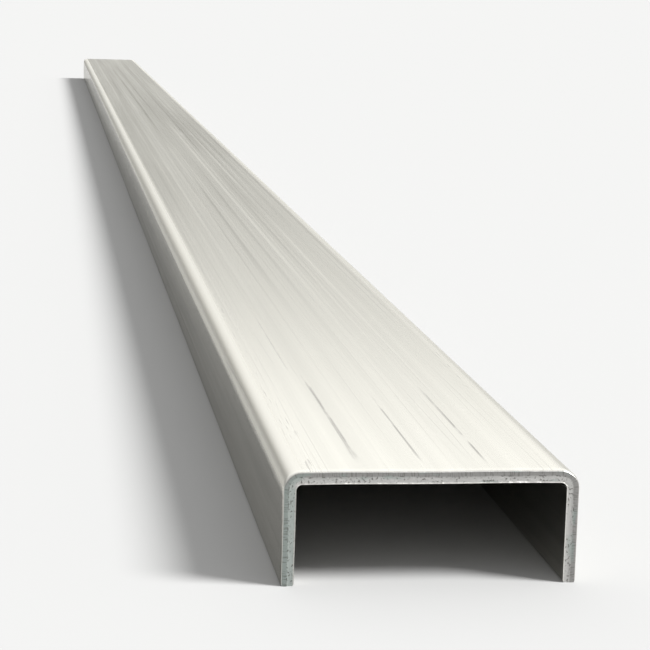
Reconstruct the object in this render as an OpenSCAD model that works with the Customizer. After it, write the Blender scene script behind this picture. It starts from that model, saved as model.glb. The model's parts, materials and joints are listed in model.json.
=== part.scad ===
// Cold-formed steel channel: one straight length of strip, bent twice into a U.
// The origin lies on the floor under the middle of the piece. X runs across the web, Y along the
// length and Z up. The web is on top, and the flanges stand on the strip's two long edges.

/* [Section] */
// Width of the web, from outside to outside
web_w = 180; // [80:1:300]
// Depth of each flange, from the web's outer face to the flange's edge
flange_h = 70; // [40:1:150]
// Thickness of the strip, the same all round the section
wall = 8; // [2:0.5:12]
// Inside radius of the two bends
bend_r = 4; // [1:0.5:16]
// Rounding of the strip's long edges, at most what the wall can hold
edge_r = 1.5; // [0.2:0.1:3]

/* [Length] */
// Length of the piece, from cut end to cut end
length = 6000; // [500:10:12000]

/* [Hidden] */
$fn = 96;

// Light warm grey of bare mill steel
steel = [0.77, 0.76, 0.72];

// The bends are concentric, so the wall keeps its thickness round them
outer_r = bend_r + wall;
// Centre of the bend on the +X side
bend_x = web_w / 2 - outer_r;
bend_z = flange_h - outer_r;

// Largest part of the wall that one rounding of an edge may take
edge_share = 0.45;
edge_round = min(edge_r, edge_share * wall);

// Quarter ring of the strip about the bend's centre
module bend() {
    intersection() {
        difference() {
            circle(outer_r);
            circle(bend_r);
        }
        square(outer_r);
    }
}

// Straight part of a flange with its inner face at x = 0, from its rounded edge up to the bend
module flange() {
    translate([0, edge_round])
        square([wall, bend_z - edge_round]);
    translate([edge_round, 0])
        square([wall - 2 * edge_round, edge_round]);
    for (x = [edge_round, wall - edge_round])
        translate([x, edge_round])
            circle(edge_round);
}

// Cross-section, upright: a flat web, then a bend and a flange on each side
module section() {
    translate([-bend_x, flange_h - wall])
        square([2 * bend_x, wall]);
    for (side = [0, 1])
        mirror([side, 0]) {
            translate([bend_x, bend_z])
                bend();
            translate([web_w / 2 - wall, 0])
                flange();
        }
}

// The whole piece, cut square at both ends
module channel() {
    color(steel)
        rotate([90, 0, 0])
            linear_extrude(height = length, center = true)
                section();
}

channel();
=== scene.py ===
"""Cold-formed steel channel lying web up on a pale floor, with its mill finish and its sheared ends.

Lengths are in metres. X runs across the web, Y along the channel and Z up.
"""

import json
from collections import namedtuple
from math import pi, radians

import bpy
import numpy as np
from bpy.props import FloatProperty, FloatVectorProperty, PointerProperty
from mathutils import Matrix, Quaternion, Vector


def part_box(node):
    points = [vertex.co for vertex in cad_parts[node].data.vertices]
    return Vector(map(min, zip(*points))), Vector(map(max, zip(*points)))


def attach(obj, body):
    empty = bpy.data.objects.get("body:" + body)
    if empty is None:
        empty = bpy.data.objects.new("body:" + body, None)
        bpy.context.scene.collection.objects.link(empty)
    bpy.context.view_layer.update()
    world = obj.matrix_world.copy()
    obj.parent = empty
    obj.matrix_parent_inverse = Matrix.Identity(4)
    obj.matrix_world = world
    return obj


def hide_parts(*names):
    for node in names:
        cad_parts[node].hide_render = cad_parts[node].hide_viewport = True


bl_info = {
    "name": "Steel channel",
    "version": (1, 0, 0),
    "blender": (4, 5, 0),
    "location": "View3D > Sidebar > Channel",
    "description": "Forms a steel channel with a mill finish and sheared ends, and sets a plain stage",
    "category": "Add Mesh",
}

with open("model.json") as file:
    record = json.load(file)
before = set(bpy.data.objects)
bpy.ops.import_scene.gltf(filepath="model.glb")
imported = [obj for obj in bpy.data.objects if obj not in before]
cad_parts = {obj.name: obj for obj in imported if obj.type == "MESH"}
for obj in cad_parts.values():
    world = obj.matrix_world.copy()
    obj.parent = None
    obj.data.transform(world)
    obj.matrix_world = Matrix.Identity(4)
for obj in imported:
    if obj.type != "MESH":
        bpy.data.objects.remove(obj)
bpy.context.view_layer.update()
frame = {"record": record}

NODE = "channel"
BODY = "root"
MM = 0.001

low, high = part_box(NODE)
mount_places = {mount["name"]: mount["pos_m"] for mount in frame["record"]["mounts"]}
web_wall = high.z - mount_places["web_inside"][2]

# Cells of the grid along half of the web's flat, a bend, a flange and its tip, the wall and the length
HALF_FLAT_CELLS = 86
BEND_CELLS = 16
FLANGE_CELLS = 45
TIP_CELLS = 7
WALL_CELLS = 18
LENGTH_CELLS = 75
# Distances from a cut end of the closer rows of cells beside it
END_ROWS = np.array([0, 0.35, 0.8, 1.4, 2.2, 3.4, 5, 8, 13, 20]) * MM
# Length of a flange's tip, in edge radii
TIP_RADII = 4
# Edges that turn by more than this are sharp
SHARP_ANGLE = radians(38)

# Share of the map's height that the rolled faces take, below the cut ends, and the margin round a patch
MAP_BODY = 0.94
MAP_MARGIN = 0.006
# How many times wider than the inner face the map lays out the outer one
MAP_OUTER = 2.0
# Share of its own band of the map that a cut end fills
MAP_END = 0.6

# Steps after which the lattice of the noise repeats
NOISE_REPEAT = 512
# Width and length of the shallow waves in the faces, and the seed of their noise
WAVE_WIDTH = 0.05
WAVE_LENGTH = 1.1
WAVE_SEED = 3

# A cut end's relief fades out over this distance along the channel
END_FADE = 6 * MM
# Seeds of the noise on the two cut ends
NEAR_SEED = 11
FAR_SEED = 31
# Shares of the wall, from its outer face: the edge drawn down, the nearest place of the line where the
# smooth part ends, how far that line wanders inwards, and the start of the burr
DRAWN_EDGE = 0.14
SHEAR_LINE = 0.36
SHEAR_WANDER = 0.18
BURR_START = 0.90
# Shares of the wall over which the smooth part goes over into the torn one, before and behind that line
TORN_BEFORE = 0.03
TORN_BEHIND = 0.09
# Shares of the fracture's depth: the lines in the smooth part, then the torn part's step, grit and clumps
SHEAR_LINES = 0.06
TORN_STEP = 0.30
TORN_GRIT = 0.45
TORN_CLUMPS = 0.25
# Share of the torn part's depth that the burr fills again
BURR_FILL = 0.5
# Widths of that line's wander, the lines, the grit and the clumps, and the last two's rows through the wall
WANDER_WIDTH = 14 * MM
LINES_WIDTH = 2.2 * MM
GRIT_WIDTH = 1.8 * MM
CLUMP_WIDTH = 6 * MM
GRIT_ROWS = 7
CLUMP_ROWS = 3

# Long marks on the web: place across it, start and end from the near cut end, width and strength
LongMark = namedtuple("LongMark", "across start end width strength")
LONG_MARKS = (
    LongMark(-41.5 * MM, 18 * MM, 90 * MM, 2.8 * MM, 0.85),
    LongMark(-41.5 * MM, 25 * MM, 300 * MM, 1.7 * MM, 0.90),
    LongMark(-3.0 * MM, 15 * MM, 230 * MM, 1.4 * MM, 0.85),
    LongMark(36.0 * MM, 10 * MM, 260 * MM, 1.4 * MM, 0.85),
    LongMark(-49.0 * MM, 300 * MM, 560 * MM, 0.9 * MM, 0.45),
    LongMark(14.0 * MM, 560 * MM, 1450 * MM, 1.0 * MM, 0.35),
    LongMark(-22.0 * MM, 900 * MM, 2300 * MM, 1.2 * MM, 0.35),
    LongMark(52.0 * MM, 1300 * MM, 3000 * MM, 1.2 * MM, 0.35),
)
# Lengths over which a long mark comes in and goes out, its wander, and the darkest share of its width
MARK_RISE = 40 * MM
MARK_FALL = 60 * MM
MARK_WANDER = 4 * MM
MARK_CORE = 0.2

# Distances from the web's middle along the strip, on both sides, where the edges of the rolls ran
ROLL_LINES = (67 * MM, 72 * MM, 101 * MM, 133 * MM)
ROLL_LINE_WIDTH = 0.9 * MM
ROLL_LINE_CORE = 0.2 * MM

# The straight lines of the finish are far longer than the channel
LINE_LENGTH = 60.0
# Shift of the noise from the outer to the inner face, so that their patterns differ
INNER_SHIFT = 5.0
# Stretch behind the near cut end over which the lines grow to full strength, and their strength before it
CALM_START = 0.15
CALM_END = 1.0
CALM_SHARE = 0.4

# Roughness of clean rolled steel and of a cut end's smooth part, and how metallic the steel is
ROLLED_ROUGHNESS = 0.16
SHEARED_ROUGHNESS = 0.34
METALLIC = 0.96
# Depth and strength of the bumps, and how many of those depths the grit of a cut end and a scratch have
BUMP_DEPTH = 0.2 * MM
BUMP_STRENGTH = 0.5
GRIT_HEIGHT = 3.0
SCRATCH_DEPTH = 0.35

# Places of the colour sockets on a Mix node
MIX_FIRST = 6
MIX_SECOND = 7
MIX_RESULT = 2

# A floor far wider than any view of the channel, and how far the camera sees
FLOOR_RADIUS = 400.0
FLOOR_SIDES = 96
FLOOR_ROUGHNESS = 0.85
SIGHT = 1000.0
# Heights on a unit dome between which the light of the sides goes over into the light from above
HORIZON_BAND = (0.09, 0.25)
# Cosines of the angles from the middle of the dome's brighter side at which its glow starts and is full
GLOW_BAND = (0.75, 0.96)

# Settings that like properties share
COLOUR = {"size": 3, "subtype": "COLOR", "min": 0, "max": 1}
FACTOR = {"subtype": "FACTOR", "min": 0, "max": 1}


class ChannelSizes(bpy.types.PropertyGroup):
    """Sizes of the bent strip and depths of its fine relief."""

    web_width: FloatProperty(
        name="Web width", description="From the outside of one flange to the outside of the other",
        default=high.x - low.x, unit="LENGTH")
    flange_depth: FloatProperty(
        name="Flange depth", description="From the web's outer face to a flange's edge",
        default=high.z - low.z, unit="LENGTH")
    length: FloatProperty(
        name="Length", description="From cut end to cut end",
        default=high.y - low.y, unit="LENGTH")
    wall: FloatProperty(
        name="Wall", description="Thickness of the strip",
        default=web_wall, unit="LENGTH")
    bend_radius: FloatProperty(
        name="Bend radius", description="Inside radius of the two bends",
        default=4 * MM, unit="LENGTH")
    edge_radius: FloatProperty(
        name="Edge radius", description="Rounding of the strip's long edges",
        default=1.5 * MM, unit="LENGTH")
    waviness: FloatProperty(
        name="Waviness", description="Depth of the shallow waves that the forming rolls leave in the faces",
        default=0.5 * MM, unit="LENGTH")
    rollover: FloatProperty(
        name="Rollover", description="How far the shear draws the outer edge of a cut end down",
        default=0.5 * MM, unit="LENGTH")
    fracture: FloatProperty(
        name="Fracture depth", description="How far the torn part of a cut end lies behind its smooth part",
        default=0.7 * MM, unit="LENGTH")


class SteelColours(bpy.types.PropertyGroup):
    """Colours of the steel and of the marks on it."""

    # Also the colour of the painted highlights on the bends and along the cut ends' edges.
    bright: FloatVectorProperty(
        name="Bright steel", description="Rolled surface where it is clean",
        default=(0.657, 0.647, 0.606), **COLOUR)
    dull: FloatVectorProperty(
        name="Dull steel", description="Rolled surface under a thin film of oil and oxide",
        default=(0.502, 0.496, 0.465), **COLOUR)
    edge: FloatVectorProperty(
        name="Grazing tint", description="What is left of the light that glances off the steel",
        default=(0.84, 0.834, 0.795), **COLOUR)
    # Also the colour towards which the painted shade on the flanges darkens them.
    mark: FloatVectorProperty(
        name="Marks", description="Scratches and rubbed-in dirt",
        default=(0.09, 0.085, 0.075), **COLOUR)
    sheared: FloatVectorProperty(
        name="Sheared metal", description="Smooth part of a cut end",
        default=(0.31, 0.305, 0.295), **COLOUR)
    torn: FloatVectorProperty(
        name="Torn metal", description="Rough part of a cut end",
        default=(0.52, 0.515, 0.50), **COLOUR)
    tint: FloatVectorProperty(
        name="Green tint", description="Thin oxide in patches on a cut end",
        default=(0.29, 0.36, 0.335), **COLOUR)


class SteelWear(bpy.types.PropertyGroup):
    """How strongly the lines, rubs and marks of the finish, the painted highlights on the bends and the cut
    ends' edges, and the painted shade on the flanges show, from 0 to 1.
    """

    dullness: FloatProperty(
        name="Dull bands", description="Soft lengthwise bands of duller steel",
        default=0.55, **FACTOR)
    drawn: FloatProperty(
        name="Drawn lines", description="Straight dark lines a few millimetres wide",
        default=0.11, **FACTOR)
    wide: FloatProperty(
        name="Wide lines", description="Straight dark lines about a centimetre wide",
        default=0.05, **FACTOR)
    hairlines: FloatProperty(
        name="Hairlines", description="Straight dark lines about a millimetre wide",
        default=0.12, **FACTOR)
    bared: FloatProperty(
        name="Bared lines", description="Straight lines of bright steel",
        default=0.40, **FACTOR)
    hair: FloatProperty(
        name="Hair scratches", description="Thin scratches that wander along the strip",
        default=0.20, **FACTOR)
    roll_lines: FloatProperty(
        name="Roll lines", description="Lines that the edges of the rolls leave",
        default=0.22, **FACTOR)
    dashes: FloatProperty(
        name="Dashes", description="Short marks beside the bends",
        default=0.40, **FACTOR)
    # Painted highlight: how strongly the bends are painted bright, in place of the light they catch.
    bends: FloatProperty(
        name="Rubbed bends", description="Bright steel on the bends",
        default=0.60, **FACTOR)
    scuffs: FloatProperty(
        name="Scuffs", description="Patches of the outer face that are rubbed bright",
        default=0.35, **FACTOR)
    # Painted shade: how strongly the flanges are painted darker all over, in place of the shade on them.
    flanges: FloatProperty(
        name="Dark flanges", description="Even film on the flanges",
        default=0.28, **FACTOR)
    # Patches of dirt film on the flanges, which deepen the painted shade there.
    film: FloatProperty(
        name="Film patches", description="Further film on the flanges, in patches",
        default=0.20, **FACTOR)
    inside: FloatProperty(
        name="Dull inside", description="Duller steel on the inner face",
        default=0.40, **FACTOR)
    oxide: FloatProperty(
        name="Oxide", description="Green tint on a cut end, in patches",
        default=0.50, **FACTOR)
    left_oxide: FloatProperty(
        name="Left oxide", description="Green tint all over the left flange's cut ends",
        default=0.55, **FACTOR)
    pits: FloatProperty(
        name="Pits", description="Dark pits in the torn part of a cut end",
        default=0.80, **FACTOR)
    teeth: FloatProperty(
        name="Teeth", description="Dark lines through the smooth part of a cut end",
        default=0.45, **FACTOR)
    # Painted highlight: how strongly both edges of a cut end are painted bright.
    rim: FloatProperty(
        name="Rim", description="Bright rim along both edges of a cut end",
        default=0.70, **FACTOR)


class StageLook(bpy.types.PropertyGroup):
    """Floor, light and camera."""

    floor: FloatVectorProperty(
        name="Floor", description="Colour of the floor",
        default=(0.38, 0.38, 0.377), **COLOUR)
    backdrop: FloatVectorProperty(
        name="Backdrop", description="Colour behind the floor, where a low view looks past it",
        default=(0.91, 0.91, 0.90), **COLOUR)
    overhead: FloatVectorProperty(
        name="Overhead", description="Colour of the soft light from above",
        default=(1.0, 1.0, 1.0), **COLOUR)
    horizon: FloatVectorProperty(
        name="Horizon", description="Colour of the soft light from the sides",
        default=(0.24, 0.237, 0.224), **COLOUR)
    dome: FloatProperty(
        name="Dome", description="Strength of the soft light from all sides",
        default=0.85, min=0)
    glow: FloatProperty(
        name="Glow", description="Further strength of the dome on the side that the web mirrors",
        default=0.88, min=0)
    glow_side: FloatVectorProperty(
        name="Glow side", description="Direction of the middle of the dome's brighter side",
        default=(0.1, 0.95, 0.32), size=3, subtype="DIRECTION")
    key: FloatProperty(
        name="Key", description="Strength of the light from the right and above",
        default=7.0, min=0)
    key_place: FloatVectorProperty(
        name="Key place", description="Where the key light comes from",
        default=(5.0, -2.8, 4.8), size=3, subtype="TRANSLATION")
    key_aim: FloatVectorProperty(
        name="Key aim", description="Point that the key light faces",
        default=(0.0, -1.0, 0.0), size=3, subtype="TRANSLATION")
    key_spread: FloatProperty(
        name="Key spread", description="Angle that the key light fills, which softens its shadows",
        default=radians(20), subtype="ANGLE")
    camera_place: FloatVectorProperty(
        name="Camera", description="Where the camera stands",
        default=(-0.2294, -4.1333, 0.3518), size=3, subtype="TRANSLATION")
    camera_aim: FloatVectorProperty(
        name="Aim", description="Point on the web that the camera looks at",
        default=(0.005, -2.494, 0.07), size=3, subtype="TRANSLATION")
    camera_roll: FloatProperty(
        name="Roll", description="Turn of the camera about its line of sight",
        default=radians(1.6), subtype="ANGLE")
    lens: FloatProperty(
        name="Lens", description="Focal length",
        default=111.0, unit="CAMERA")


# Grid of the strip


def strip_lengths(sizes):
    """Lengths along the strip's middle line: half of the web's flat, a bend, and a flange below its bend.

    The bend is a quarter of the circle that runs through the middle of the wall.
    """
    half_flat = sizes.web_width / 2 - sizes.bend_radius - sizes.wall
    bend = (sizes.bend_radius + sizes.wall / 2) * pi / 2
    flange = sizes.flange_depth - sizes.bend_radius - sizes.wall
    return half_flat, bend, flange


def strip_stops(sizes):
    """Distances along the strip's middle line from the web's middle, one stretch of cells after another.

    The cells are smaller in the bends and at the tips of the flanges.
    """
    half_flat, bend, flange = strip_lengths(sizes)
    tip = TIP_RADII * sizes.edge_radius
    stretches = (
        (half_flat, HALF_FLAT_CELLS),
        (bend, BEND_CELLS),
        (flange - tip, FLANGE_CELLS),
        (tip, TIP_CELLS),
    )
    half = np.zeros(1)
    for stretch, cells in stretches:
        half = np.append(half, half[-1] + np.linspace(0, stretch, cells + 1)[1:])
    return np.concatenate([-half[:0:-1], half])


def wall_stops(sizes):
    """Heights through the wall from its inner to its outer face, crowded at both by the cosine rule."""
    return -np.cos(np.linspace(0, pi, WALL_CELLS + 1)) * sizes.wall / 2


def length_stops(sizes):
    """Distances from the near end along the channel, closer together at both ends."""
    middle = np.linspace(END_ROWS[-1], sizes.length - END_ROWS[-1], LENGTH_CELLS + 1)
    return np.concatenate([END_ROWS[:-1], middle, sizes.length - END_ROWS[-2::-1]])


# Relief


def smooth_step(start, end, value):
    """0 up to start, 1 from end on, and 3t2 - 2t3 between them."""
    t = np.clip((value - start) / (end - start), 0, 1)
    return t * t * (3 - 2 * t)


def smooth_noise(seed, *coordinates):
    """Value noise from 0 to 1: random numbers on a lattice of whole coordinates, blended by the smooth step.

    With one coordinate it runs along a line, with two over a surface. A whole number that is added to a
    coordinate only picks another stretch of the lattice.
    """
    lattice = np.random.default_rng(seed).random((NOISE_REPEAT,) * len(coordinates))
    whole = [np.floor(coordinate).astype(int) for coordinate in coordinates]
    ease = [smooth_step(0, 1, coordinate - start) for coordinate, start in zip(coordinates, whole)]
    total = 0.0
    for corner in np.ndindex(*(2,) * len(coordinates)):
        weight = 1.0
        for step, share in zip(corner, ease):
            weight = weight * (share if step else 1 - share)
        place = tuple((start + step) % NOISE_REPEAT for start, step in zip(whole, corner))
        total = total + weight * lattice[place]
    return total


def face_waves(sizes, across, along):
    """How far the strip lies inside its true face: smooth noise in long shallow waves."""
    return sizes.waviness * smooth_noise(WAVE_SEED, across / WAVE_WIDTH + 40, along / WAVE_LENGTH)


def cut_depth(sizes, across, height, seed):
    """How far a cut end lies behind its true plane.

    From the outer face inwards: the edge that the shear drew down, the smooth part with fine lines through
    the wall, then the torn part, which lies deeper and is gritty, and a low burr along the inner face.
    """
    inward = 0.5 - height / sizes.wall
    drawn = sizes.rollover * (1 - smooth_step(0, DRAWN_EDGE, inward)) ** 2
    shear_line = SHEAR_LINE + SHEAR_WANDER * smooth_noise(seed, across / WANDER_WIDTH + 60)
    torn = smooth_step(shear_line - TORN_BEFORE, shear_line + TORN_BEHIND, inward)
    lines = smooth_noise(seed + 1, across / LINES_WIDTH + 150)
    grit = smooth_noise(seed + 2, across / GRIT_WIDTH + 200, inward * GRIT_ROWS)
    clumps = smooth_noise(seed + 3, across / CLUMP_WIDTH + 60, inward * CLUMP_ROWS)
    burr = BURR_FILL * smooth_step(BURR_START, 1.0, inward)
    torn_depth = torn * (TORN_STEP + TORN_GRIT * grit + TORN_CLUMPS * clumps) * (1 - burr)
    return drawn + sizes.fracture * (SHEAR_LINES * lines + torn_depth)


# Strip


def strip_point(sizes, across, height, sunk):
    """X and Z of a point of the section, from its distance along the middle line and its height in the wall.

    The middle line runs level along the web, then round a quarter circle, then straight down the flange. A
    point lies its height away from the middle line, less what it is sunk, along the normal, so the bends are
    concentric. At a flange's tip the line is shortened by the edge rounding, a quarter circle at each face.
    """
    half_flat, bend, flange = strip_lengths(sizes)
    half_length = half_flat + bend + flange
    middle_radius = sizes.bend_radius + sizes.wall / 2

    rounding = sizes.edge_radius
    into_rounding = np.clip(np.abs(height) - (sizes.wall / 2 - rounding), 0, rounding)
    shortened = rounding - np.sqrt(rounding ** 2 - into_rounding ** 2)
    tip = TIP_RADII * rounding
    distance = np.abs(across)
    distance = distance - shortened * np.clip((distance - half_length + tip) / tip, 0, 1)

    turn = np.clip((distance - half_flat) / middle_radius, 0, pi / 2)
    radius = middle_radius + height - sunk
    x = np.minimum(distance, half_flat) + radius * np.sin(turn)
    z = flange + radius * np.cos(turn) - np.maximum(distance - half_flat - bend, 0)
    return np.sign(across) * x, z


def strip_surface(sizes, across, height, from_near):
    """Surface points, from distances along the strip, heights in the wall and distances from the near end.

    The wall sinks by the face waves and, close to an end, its outer part by the rollover. Each end's cut
    depth moves its points back along the channel and fades out over the next few millimetres.
    """
    near_share = np.clip(1 - from_near / END_FADE, 0, 1)
    far_share = np.clip(1 - (sizes.length - from_near) / END_FADE, 0, 1)
    outer = (0.5 + height / sizes.wall) ** 2
    drawn = sizes.rollover * outer * np.maximum(near_share, far_share) ** 4
    x, z = strip_point(sizes, across, height, face_waves(sizes, across, from_near) + drawn)
    y = from_near - sizes.length / 2 + near_share * cut_depth(sizes, across, height, NEAR_SEED)
    y = y - far_share * cut_depth(sizes, across, height, FAR_SEED)
    return np.stack(np.broadcast_arrays(x, y, z), axis=-1)


def section_outline(strip, wall):
    """Distance along the strip and height in the wall of each point of the section's outline.

    It runs along the outer face, down one edge, back along the inner face and up the other edge.
    """
    edge = wall[-2:0:-1]
    across = np.concatenate([
        strip, np.full(edge.size, strip[-1]), strip[::-1], np.full(edge.size, strip[0])])
    height = np.concatenate([
        np.full(strip.size, wall[-1]), edge, np.full(strip.size, wall[0]), edge[::-1]])
    return across, height


def end_numbers(rim, strip, wall, first):
    """Vertex numbers on a cut end's grid: the outline's round the rim, and inside it the first and on."""
    numbers = np.empty((strip.size, wall.size), int)
    outer, down, inner, up = np.split(rim, np.cumsum([strip.size, wall.size - 2, strip.size]))
    numbers[:, 0] = outer
    numbers[-1, 1:-1] = down
    numbers[::-1, -1] = inner
    numbers[0, -2:0:-1] = up
    inside = numbers[1:-1, 1:-1]
    inside[:] = first + np.arange(inside.size).reshape(inside.shape)
    return numbers


def grid_corners(grid):
    """The four corners of each cell of a grid, in turn: vertex numbers, or places on a map."""
    corners = np.stack([grid[:-1, :-1], grid[:-1, 1:], grid[1:, 1:], grid[1:, :-1]], axis=2)
    return corners.reshape(-1, 4, *grid.shape[2:])


def map_places(share, size):
    """Places on the map for shares from 0 to 1 of a patch of this size, between its two margins."""
    return MAP_MARGIN + (size - 2 * MAP_MARGIN) * share


def running_share(steps):
    """The share, from 0 to 1, of a row of steps that lies before each of its points."""
    return np.concatenate([[0], np.cumsum(steps)]) / steps.sum()


def rolled_map(sizes, across, height, length):
    """Map of the rolled faces: the outline laid out flat, its outer half widest, by the length."""
    closed_across = np.append(across, across[0])
    closed_height = np.append(height, height[0])
    steps = np.hypot(np.diff(closed_across), np.diff(closed_height))
    steps = steps * np.where(closed_height[1:] > 0, MAP_OUTER, 1.0)
    u = map_places(running_share(steps), 1.0)
    v = map_places(length / sizes.length, MAP_BODY)
    return np.stack(np.broadcast_arrays(u[None, :], v[:, None]), axis=-1)


def end_map(sizes, strip, wall, number):
    """Map of one cut end: the strip's length by its wall, in a band of its own above the rolled faces."""
    band = (1 - MAP_BODY) / 2
    u = map_places(running_share(np.diff(strip)), 1.0)
    v = MAP_BODY + (number + 0.5 + MAP_END * wall[::-1] / sizes.wall) * band
    return np.stack(np.broadcast_arrays(u[:, None], v[None, :]), axis=-1)


def channel_mesh(sizes):
    """The channel as one closed mesh: its outline carried along the length, and a grid on each cut end.

    An end's grid shares its rim with the outline, so the mesh has no open seam. Each point keeps its
    distance along the strip and its place through the wall, and each face whether it is cut, for the
    material.
    """
    strip = strip_stops(sizes)
    wall = wall_stops(sizes)
    length = length_stops(sizes)
    loop_across, loop_height = section_outline(strip, wall)
    rolled = strip_surface(sizes, loop_across[None, :], loop_height[None, :], length[:, None])
    numbers = np.arange(length.size * loop_across.size).reshape(length.size, -1)
    closed = np.concatenate([numbers, numbers[:, :1]], axis=1)

    points = [rolled.reshape(-1, 3)]
    across = [np.tile(loop_across, length.size)]
    height = [np.tile(loop_height, length.size)]
    faces = [grid_corners(closed)]
    places = [grid_corners(rolled_map(sizes, loop_across, loop_height, length))]
    cut = [np.zeros(len(faces[0]))]

    # Each end's row of the outline, its distance from the near end, and the way its faces turn
    ends = ((numbers[0], 0.0, 1), (numbers[-1], sizes.length, -1))
    end_across, end_height = np.meshgrid(strip[1:-1], wall[-2:0:-1], indexing="ij")
    for number, (rim, from_near, turn) in enumerate(ends):
        first = sum(len(group) for group in points)
        inside = strip_surface(sizes, end_across, end_height, np.full(end_across.shape, from_near))
        points.append(inside.reshape(-1, 3))
        across.append(end_across.ravel())
        height.append(end_height.ravel())
        faces.append(grid_corners(end_numbers(rim, strip, wall, first))[:, ::turn])
        places.append(grid_corners(end_map(sizes, strip, wall, number))[:, ::turn])
        cut.append(np.ones(len(faces[-1])))

    mesh = bpy.data.meshes.new(NODE + "_strip")
    mesh.from_pydata(np.concatenate(points), [], np.concatenate(faces))
    through = 0.5 - np.concatenate(height) / sizes.wall
    mesh.attributes.new("across", "FLOAT", "POINT").data.foreach_set("value", np.concatenate(across))
    mesh.attributes.new("through", "FLOAT", "POINT").data.foreach_set("value", through)
    mesh.attributes.new("cut", "FLOAT", "FACE").data.foreach_set("value", np.concatenate(cut))
    mesh.uv_layers.new(name="OFBake").uv.foreach_set("vector", np.concatenate(places).ravel())
    mesh.shade_smooth()
    mesh.set_sharp_from_angle(angle=SHARP_ANGLE)
    return mesh


# Finish


class Value:
    """An output socket. Arithmetic on it adds Math nodes to its material."""

    def __init__(self, finish, socket):
        self.finish = finish
        self.socket = socket

    def __add__(self, other):
        return self.finish.math("ADD", self, other)

    def __sub__(self, other):
        return self.finish.math("SUBTRACT", self, other)

    def __rsub__(self, other):
        return self.finish.math("SUBTRACT", other, self)

    def __mul__(self, other):
        return self.finish.math("MULTIPLY", self, other)

    def __truediv__(self, other):
        return self.finish.math("DIVIDE", self, other)

    def __abs__(self):
        return self.finish.math("ABSOLUTE", self)

    __radd__ = __add__
    __rmul__ = __mul__


class Finish:
    """A material's or world's nodes in the making, and the few kinds that its patterns are made from."""

    def __init__(self, owner):
        owner.use_nodes = True
        self.tree = owner.node_tree
        self.tree.nodes.clear()

    def node(self, kind, settings=None, inputs=None, output=0):
        """Adds a node, makes its settings, then fills or links its inputs, and returns one output."""
        made = self.tree.nodes.new(kind)
        for name, value in (settings or {}).items():
            setattr(made, name, value)
        for key, value in (inputs or {}).items():
            if isinstance(value, Value):
                self.tree.links.new(value.socket, made.inputs[key])
            else:
                made.inputs[key].default_value = value
        return Value(self, made.outputs[output]) if made.outputs else made

    def math(self, operation, *terms):
        """One Math node on one or two terms, each a Value or a number."""
        return self.node("ShaderNodeMath", {"operation": operation}, dict(enumerate(terms)))

    def most(self, first, second):
        """The larger of two terms."""
        return self.math("MAXIMUM", first, second)

    def attribute(self, name):
        """A number that the mesh keeps under this name."""
        return self.node("ShaderNodeAttribute", {"attribute_name": name}, output="Fac")

    def step(self, start, end, value):
        """0 up to start and 1 from end on, with a smooth rise between, or a fall if start is above end."""
        below, above = (0.0, 1.0) if start < end else (1.0, 0.0)
        return self.node("ShaderNodeMapRange", {"interpolation_type": "SMOOTHSTEP"}, {
            "Value": value,
            "From Min": min(start, end),
            "From Max": max(start, end),
            "To Min": below,
            "To Max": above,
        })

    def blend(self, share, first, second):
        """A colour between two colours, each a Value or three numbers."""
        inputs = {0: share}
        for key, colour in ((MIX_FIRST, first), (MIX_SECOND, second)):
            inputs[key] = colour if isinstance(colour, Value) else (*colour, 1.0)
        return self.node("ShaderNodeMix", {"data_type": "RGBA"}, inputs, output=MIX_RESULT)

    def noise(self, x, y, z, detail):
        """Noise from 0 to 1 with patches about one unit wide in each of these coordinates."""
        place = self.node("ShaderNodeCombineXYZ", None, {0: x, 1: y, 2: z})
        return self.node("ShaderNodeTexNoise", None, {
            "Vector": place, "Scale": 1.0, "Detail": detail, "Roughness": 0.5})


class StripFinish(Finish):
    """The finish of a bent strip, with its own coordinates and the patterns that follow them.

    The coordinates are the distance across the strip from the web's middle, the share of the wall from its
    outer face, and the distance along from the near end. Its masks are the cut ends and the outer face.
    """

    def __init__(self, material, sizes):
        super().__init__(material)
        self.half_flat, self.bend, _ = strip_lengths(sizes)
        self.across = self.attribute("across")
        self.through = self.attribute("through")
        self.cut = self.attribute("cut")
        place = self.node("ShaderNodeTexCoord", output="Object")
        self.along = self.node("ShaderNodeSeparateXYZ", None, {0: place}, output=1) + sizes.length / 2
        self.outside = self.step(0.10, 0.05, self.through)

    def streaks(self, width, length, seed, detail=2.0):
        """Noise in patches of this width across the strip and this length along it."""
        layer = self.through * INNER_SHIFT + seed
        return self.noise(self.across / width, self.along / length, layer, detail)

    def lines(self, width, patch_width, patch_length, seed):
        """Straight lines along the strip that come and go in patches."""
        straight = self.step(0.48, 0.66, self.streaks(width, LINE_LENGTH, seed))
        return straight * self.step(0.34, 0.58, self.streaks(patch_width, patch_length, seed + 5, 1.0))

    def specks(self, width, rows, seed, detail=2.0):
        """Noise on a cut end, in patches of this width along the strip, in so many rows through the wall."""
        return self.noise(self.across / width, self.through * rows, seed, detail)


def long_marks(finish):
    """The long marks on the web, one by one: strands that wander a little, broken into short pieces."""
    wander = finish.streaks(width=40 * MM, length=0.7, seed=60, detail=0.0) - 0.5
    strands = finish.streaks(width=0.5 * MM, length=0.25, seed=75, detail=1.0)
    pieces = finish.streaks(width=6 * MM, length=0.06, seed=70)
    texture = finish.step(0.32, 0.52, pieces) * (0.35 + 0.65 * finish.step(0.40, 0.58, strands))
    marks = 0.0
    for mark in LONG_MARKS:
        off = abs(finish.across - mark.across + wander * MARK_WANDER)
        rise = finish.step(mark.start, mark.start + MARK_RISE, finish.along)
        fall = finish.step(mark.end, mark.end - MARK_FALL, finish.along)
        line = finish.step(mark.width, mark.width * MARK_CORE, off) * texture * rise * fall
        marks = finish.most(line * mark.strength, marks)
    return marks * finish.outside


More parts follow.
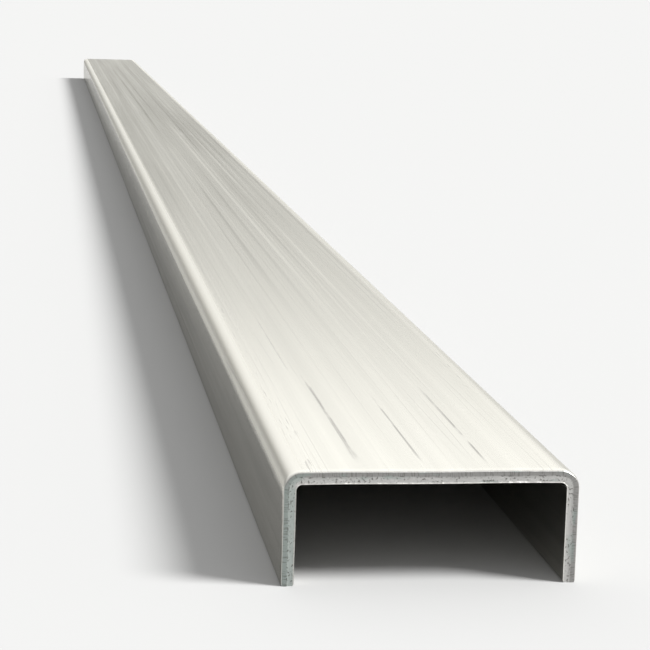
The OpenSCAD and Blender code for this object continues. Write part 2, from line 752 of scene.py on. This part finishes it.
def roll_marks(finish):
    """Lines on the outer face where the edges of the rolls ran, broken up along their way."""
    breaks = finish.step(0.40, 0.62, finish.streaks(width=80 * MM, length=0.5, seed=90))
    marks = 0.0
    for distance in ROLL_LINES:
        off = abs(abs(finish.across) - distance)
        marks = finish.most(finish.step(ROLL_LINE_WIDTH, ROLL_LINE_CORE, off), marks)
    return marks * breaks * finish.outside


def hair_marks(finish):
    """Hair scratches on the outer face: thin contour lines of a stretched noise, broken up by another."""
    contour = abs(finish.streaks(width=14 * MM, length=2.6, seed=40, detail=0.0) - 0.5)
    breaks = finish.streaks(width=15 * MM, length=0.5, seed=50, detail=1.0)
    return finish.step(0.010, 0.002, contour) * finish.step(0.50, 0.64, breaks) * finish.outside


def bend_marks(finish):
    """The mask of the painted highlight on the bends, and that of the short dashes that the rolls leave
    beside them.
    """
    from_bend = abs(abs(finish.across) - (finish.half_flat + finish.bend / 2))
    # Painted highlight: a band over each bend in which the colour is brightened.
    bend_highlight = finish.step(finish.bend * 0.80, finish.bend * 0.35, from_bend)
    beside = finish.step(20 * MM, 12 * MM, from_bend) * (1 - bend_highlight)
    dashes = finish.step(0.60, 0.72, finish.streaks(width=1.4 * MM, length=40 * MM, seed=80, detail=1.0))
    groups = finish.step(0.42, 0.60, finish.streaks(width=60 * MM, length=0.35, seed=85, detail=1.0))
    return bend_highlight, dashes * groups * beside * finish.outside


def rolled_look(finish, colours, wear):
    """Colour, roughness and marks of the rolled faces.

    Soft bands go from bright to dull steel. Straight lines over them darken or bare it, calmer behind the
    near cut end. A painted highlight brightens the bends and scuffs are worn bright, with the marks over
    them. Then come painted shade on the flanges, with film patches of dirt in it, and the duller inner face.
    """
    fine = finish.streaks(width=2.4 * MM, length=3.0, seed=0)
    bands = finish.streaks(width=16 * MM, length=5.0, seed=10)
    clouds = finish.streaks(width=70 * MM, length=1.6, seed=20)
    dullness = finish.step(0.32, 0.68, 0.55 * bands + 0.12 * fine + 0.33 * clouds)
    colour = finish.blend(dullness * wear.dullness, colours.bright, colours.dull)

    drawn = finish.lines(width=4 * MM, patch_width=30 * MM, patch_length=0.9, seed=100)
    wide = finish.lines(width=11 * MM, patch_width=60 * MM, patch_length=1.6, seed=140)
    hairlines = finish.lines(width=1.3 * MM, patch_width=30 * MM, patch_length=0.6, seed=130)
    bared = finish.lines(width=5 * MM, patch_width=40 * MM, patch_length=1.2, seed=110)
    calm = CALM_SHARE + (1 - CALM_SHARE) * finish.step(CALM_START, CALM_END, finish.along)
    darkened = drawn * wear.drawn + wide * wear.wide + hairlines * wear.hairlines
    colour = finish.blend(darkened * calm, colour, colours.mark)
    colour = finish.blend(bared * wear.bared, colour, colours.bright)

    bend_highlight, dashes = bend_marks(finish)
    marks = finish.most(hair_marks(finish) * wear.hair, long_marks(finish))
    marks = finish.most(marks, roll_marks(finish) * wear.roll_lines)
    marks = finish.most(marks, dashes * wear.dashes)
    scuffs = finish.step(0.56, 0.72, finish.streaks(width=9 * MM, length=0.07, seed=30, detail=3.0))
    # Painted highlight along the bends and real scuffs worn bright, both blended towards bright steel.
    highlight_and_scuffs = finish.most(bend_highlight * wear.bends, scuffs * finish.outside * wear.scuffs)
    colour = finish.blend(highlight_and_scuffs, colour, colours.bright)
    colour = finish.blend(marks, colour, colours.mark)

    # Painted shade on the flanges: an even darkening, deepened by film patches of dirt.
    flange_start = finish.half_flat + finish.bend * 0.9
    flange_full = finish.half_flat + finish.bend * 1.4
    flange_shade_mask = finish.step(flange_start, flange_full, abs(finish.across))
    film = finish.step(0.42, 0.68, finish.streaks(width=8 * MM, length=0.35, seed=120, detail=3.0))
    colour = finish.blend(flange_shade_mask * (wear.flanges + film * wear.film), colour, colours.mark)
    colour = finish.blend(finish.step(0.6, 0.95, finish.through) * wear.inside, colour, colours.dull)

    streaked = (0.05 * dullness + 0.04 * bared - 0.05 * wide - 0.02 * drawn) * calm
    roughness = ROLLED_ROUGHNESS + streaked + 0.02 * (fine - 0.5) + 0.12 * bend_highlight + 0.10 * marks
    return colour, roughness, marks


def end_look(finish, colours, wear):
    """Colour, roughness and height of the cut ends.

    A cut end is smooth and lined near the outer face and torn and pitted towards the inner one, with nicks
    where the two meet, a green tint in patches and on the left flange, and a painted highlight along both
    edges.
    """
    grit = finish.specks(width=1.5 * MM, rows=5.5, seed=3.0, detail=3.0)
    teeth = finish.specks(width=0.9 * MM, rows=1.2, seed=5.0)
    patches = finish.specks(width=22 * MM, rows=1.2, seed=7.0)
    clumps = finish.specks(width=7 * MM, rows=2.0, seed=9.0, detail=1.0)
    nicks = finish.specks(width=2.6 * MM, rows=3.5, seed=11.0, detail=1.0)
    torn = finish.step(0.38, 0.52, finish.through + (patches - 0.5) * 0.35)
    colour = finish.blend(torn, colours.sheared, colours.torn)

    bend_middle = -finish.half_flat - finish.bend / 2
    bend_foot = -finish.half_flat - finish.bend
    left_flange = finish.step(bend_middle, bend_foot, finish.across)
    oxide = finish.most(finish.step(0.54, 0.66, patches) * wear.oxide, left_flange * wear.left_oxide)
    colour = finish.blend(oxide, colour, colours.tint)

    pits = finish.step(0.52, 0.65, grit) * finish.step(0.34, 0.56, clumps) * torn
    colour = finish.blend(pits * wear.pits, colour, colours.mark)
    lines = finish.step(0.50, 0.66, teeth) * (1 - torn)
    colour = finish.blend(lines * wear.teeth, colour, colours.mark)
    boundary = torn * (1 - torn) * 3.2
    colour = finish.blend(finish.step(0.54, 0.66, nicks) * boundary, colour, colours.mark)
    # Painted highlight: both edges of a cut end brightened towards bright steel.
    rim = finish.most(finish.step(0.08, 0.02, finish.through), finish.step(0.88, 0.96, finish.through))
    colour = finish.blend(rim * wear.rim, colour, colours.bright)

    roughness = SHEARED_ROUGHNESS + 0.16 * torn + 0.20 * (grit - 0.5)
    height = torn * grit * GRIT_HEIGHT + (1 - torn) * teeth
    return colour, roughness, height


def mill_steel(sizes, colours, wear):
    """Rolled steel with lengthwise streaks and scratches, a painted highlight on the bends, painted shade on
    the flanges, and sheared ends with a painted highlight along their edges.
    """
    material = bpy.data.materials.new("mill_steel")
    finish = StripFinish(material, sizes)
    cut = finish.cut
    rolled_colour, rolled_roughness, marks = rolled_look(finish, colours, wear)
    end_colour, end_roughness, end_height = end_look(finish, colours, wear)
    scratches = marks * (1 - cut)
    normal = finish.node("ShaderNodeBump", None, {
        "Strength": BUMP_STRENGTH,
        "Distance": BUMP_DEPTH,
        "Height": cut * end_height - scratches * SCRATCH_DEPTH,
    })
    shader = finish.node("ShaderNodeBsdfPrincipled", None, {
        "Base Color": finish.blend(cut, rolled_colour, end_colour),
        "Metallic": METALLIC - 0.4 * scratches,
        "Roughness": rolled_roughness * (1 - cut) + end_roughness * cut,
        "Specular Tint": (*colours.edge, 1.0),
        "Normal": normal,
    })
    finish.node("ShaderNodeOutputMaterial", None, {"Surface": shader})
    return material


class CHANNEL_OT_form(bpy.types.Operator):
    """Form the channel from one strip, with its mill finish and its sheared ends"""

    bl_idname = "channel.form"
    bl_label = "Form channel"

    def execute(self, context):
        scene = context.scene
        mesh = channel_mesh(scene.channel_sizes)
        mesh.materials.append(mill_steel(scene.channel_sizes, scene.channel_colours, scene.channel_wear))
        piece = bpy.data.objects.new("formed_channel", mesh)
        scene.collection.objects.link(piece)
        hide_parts(NODE)
        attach(piece, BODY)
        return {"FINISHED"}


# Stage


def stage_floor(look):
    """A round floor: points evenly round a circle, joined by one face."""
    turn = np.linspace(0, 2 * pi, FLOOR_SIDES, endpoint=False)
    x = FLOOR_RADIUS * np.cos(turn)
    y = FLOOR_RADIUS * np.sin(turn)
    points = np.stack([x, y, np.zeros(turn.size)], axis=-1)
    mesh = bpy.data.meshes.new("floor")
    mesh.from_pydata(points, [], [np.arange(turn.size)])
    material = bpy.data.materials.new("floor")
    finish = Finish(material)
    shader = finish.node("ShaderNodeBsdfPrincipled", None, {
        "Base Color": (*look.floor, 1.0),
        "Roughness": FLOOR_ROUGHNESS,
        "Specular IOR Level": 0.0,
    })
    finish.node("ShaderNodeOutputMaterial", None, {"Surface": shader})
    mesh.materials.append(material)
    return bpy.data.objects.new("floor", mesh)


def facing(place, aim):
    """The turn that makes a lamp or camera at a place look at a point."""
    return (Vector(aim) - Vector(place)).to_track_quat("-Z", "Y")


def stage_key(look):
    """A broad sun from the right and above."""
    data = bpy.data.lights.new("key", "SUN")
    data.energy = look.key
    data.angle = look.key_spread
    lamp = bpy.data.objects.new("key", data)
    lamp.location = look.key_place
    lamp.rotation_euler = facing(look.key_place, look.key_aim).to_euler()
    lamp.visible_camera = False
    return lamp


def stage_camera(look):
    """The camera at its place, aimed at a point on the web and rolled about its line of sight."""
    data = bpy.data.cameras.new("camera")
    data.lens = look.lens
    data.clip_end = SIGHT
    camera = bpy.data.objects.new("camera", data)
    camera.location = look.camera_place
    roll = Quaternion((0, 0, 1), look.camera_roll)
    camera.rotation_euler = (facing(look.camera_place, look.camera_aim) @ roll).to_euler()
    return camera


def stage_world(look):
    """A soft dome of light: the weaker light of the sides goes over smoothly into the light from above.

    One side of the dome is brighter. What the camera itself sees past the floor is a plain pale backdrop.
    """
    world = bpy.data.worlds.new("sky")
    finish = Finish(world)
    direction = finish.node("ShaderNodeTexCoord", output="Generated")
    upward = finish.node("ShaderNodeSeparateXYZ", None, {0: direction}, output=2)
    colour = finish.blend(finish.step(*HORIZON_BAND, upward), look.horizon, look.overhead)
    glow_side = Vector(look.glow_side).normalized()
    product = {"operation": "DOT_PRODUCT"}
    towards = finish.node("ShaderNodeVectorMath", product, {0: direction, 1: glow_side}, output="Value")
    strength = look.dome + look.glow * finish.step(*GLOW_BAND, towards)
    light = finish.node("ShaderNodeBackground", None, {"Color": colour, "Strength": strength})
    backdrop = finish.node("ShaderNodeBackground", None, {"Color": (*look.backdrop, 1.0), "Strength": 1.0})
    seen = finish.node("ShaderNodeLightPath", output="Is Camera Ray")
    surface = finish.node("ShaderNodeMixShader", None, {0: seen, 1: light, 2: backdrop})
    finish.node("ShaderNodeOutputWorld", None, {"Surface": surface})
    return world


class CHANNEL_OT_stage(bpy.types.Operator):
    """Set the camera, a plain pale floor and soft light"""

    bl_idname = "channel.stage"
    bl_label = "Set stage"

    def execute(self, context):
        scene = context.scene
        look = scene.channel_stage
        camera = stage_camera(look)
        floor = stage_floor(look)
        key = stage_key(look)
        for thing in (camera, floor, key):
            scene.collection.objects.link(thing)
        scene.camera = camera
        scene.world = stage_world(look)
        scene.view_settings.view_transform = "Standard"
        return {"FINISHED"}


class CHANNEL_PT_panel(bpy.types.Panel):
    """Sizes, colours, wear and stage of the channel, and the steps that make them"""

    bl_idname = "CHANNEL_PT_panel"
    bl_label = "Steel channel"
    bl_space_type = "VIEW_3D"
    bl_region_type = "UI"
    bl_category = "Channel"

    def draw(self, context):
        for group in GROUPS:
            box = self.layout.box()
            for name in GROUPS[group].__annotations__:
                box.prop(getattr(context.scene, group), name)
        for step in (CHANNEL_OT_stage, CHANNEL_OT_form):
            self.layout.operator(step.bl_idname)


GROUPS = {
    "channel_sizes": ChannelSizes,
    "channel_colours": SteelColours,
    "channel_wear": SteelWear,
    "channel_stage": StageLook,
}
CLASSES = (*GROUPS.values(), CHANNEL_OT_form, CHANNEL_OT_stage, CHANNEL_PT_panel)


def register():
    """Registers the classes and gives each scene its groups of properties."""
    for each in CLASSES:
        bpy.utils.register_class(each)
    for name, group in GROUPS.items():
        setattr(bpy.types.Scene, name, PointerProperty(type=group))


def unregister():
    """Takes the groups of properties and the classes away again."""
    for name in GROUPS:
        delattr(bpy.types.Scene, name)
    for each in reversed(CLASSES):
        bpy.utils.unregister_class(each)


def main():
    """Registers the classes, sets the stage and forms the channel."""
    register()
    bpy.ops.channel.stage()
    bpy.ops.channel.form()


if __name__ == "__main__":
    main()
